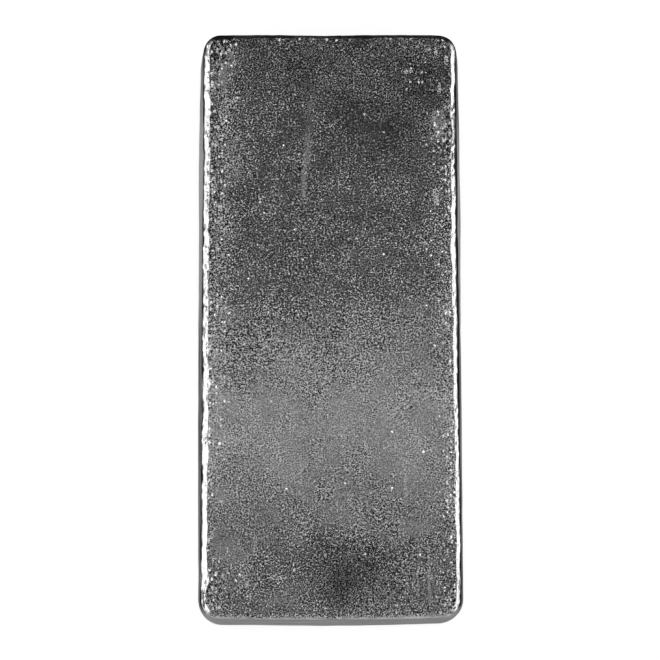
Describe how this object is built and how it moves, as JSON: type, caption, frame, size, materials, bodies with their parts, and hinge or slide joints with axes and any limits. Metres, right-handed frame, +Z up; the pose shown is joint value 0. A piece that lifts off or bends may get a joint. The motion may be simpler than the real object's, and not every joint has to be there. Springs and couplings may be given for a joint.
{
  "type": "cast silver bar",
  "caption": "Oblong silver ingot cast in an open mould, with leaning walls, rounded edges, a grainy upper face and a slightly sunken underside.",
  "frame": {"origin": "middle of the underside, on the surface that the bar rests on", "axes": "+Y along the bar, +X across it, +Z up through the face that was cast on the mould's floor"},
  "size_m": [0.053, 0.1172, 0.0166],
  "materials": {
    "cast_silver": "fine silver as cast: grainy and grey on the mould-floor face, bright where the edges are rubbed"
  },
  "bodies": {
    "root": {"cast_bar": "cast_silver"}
  },
  "joints": []
}
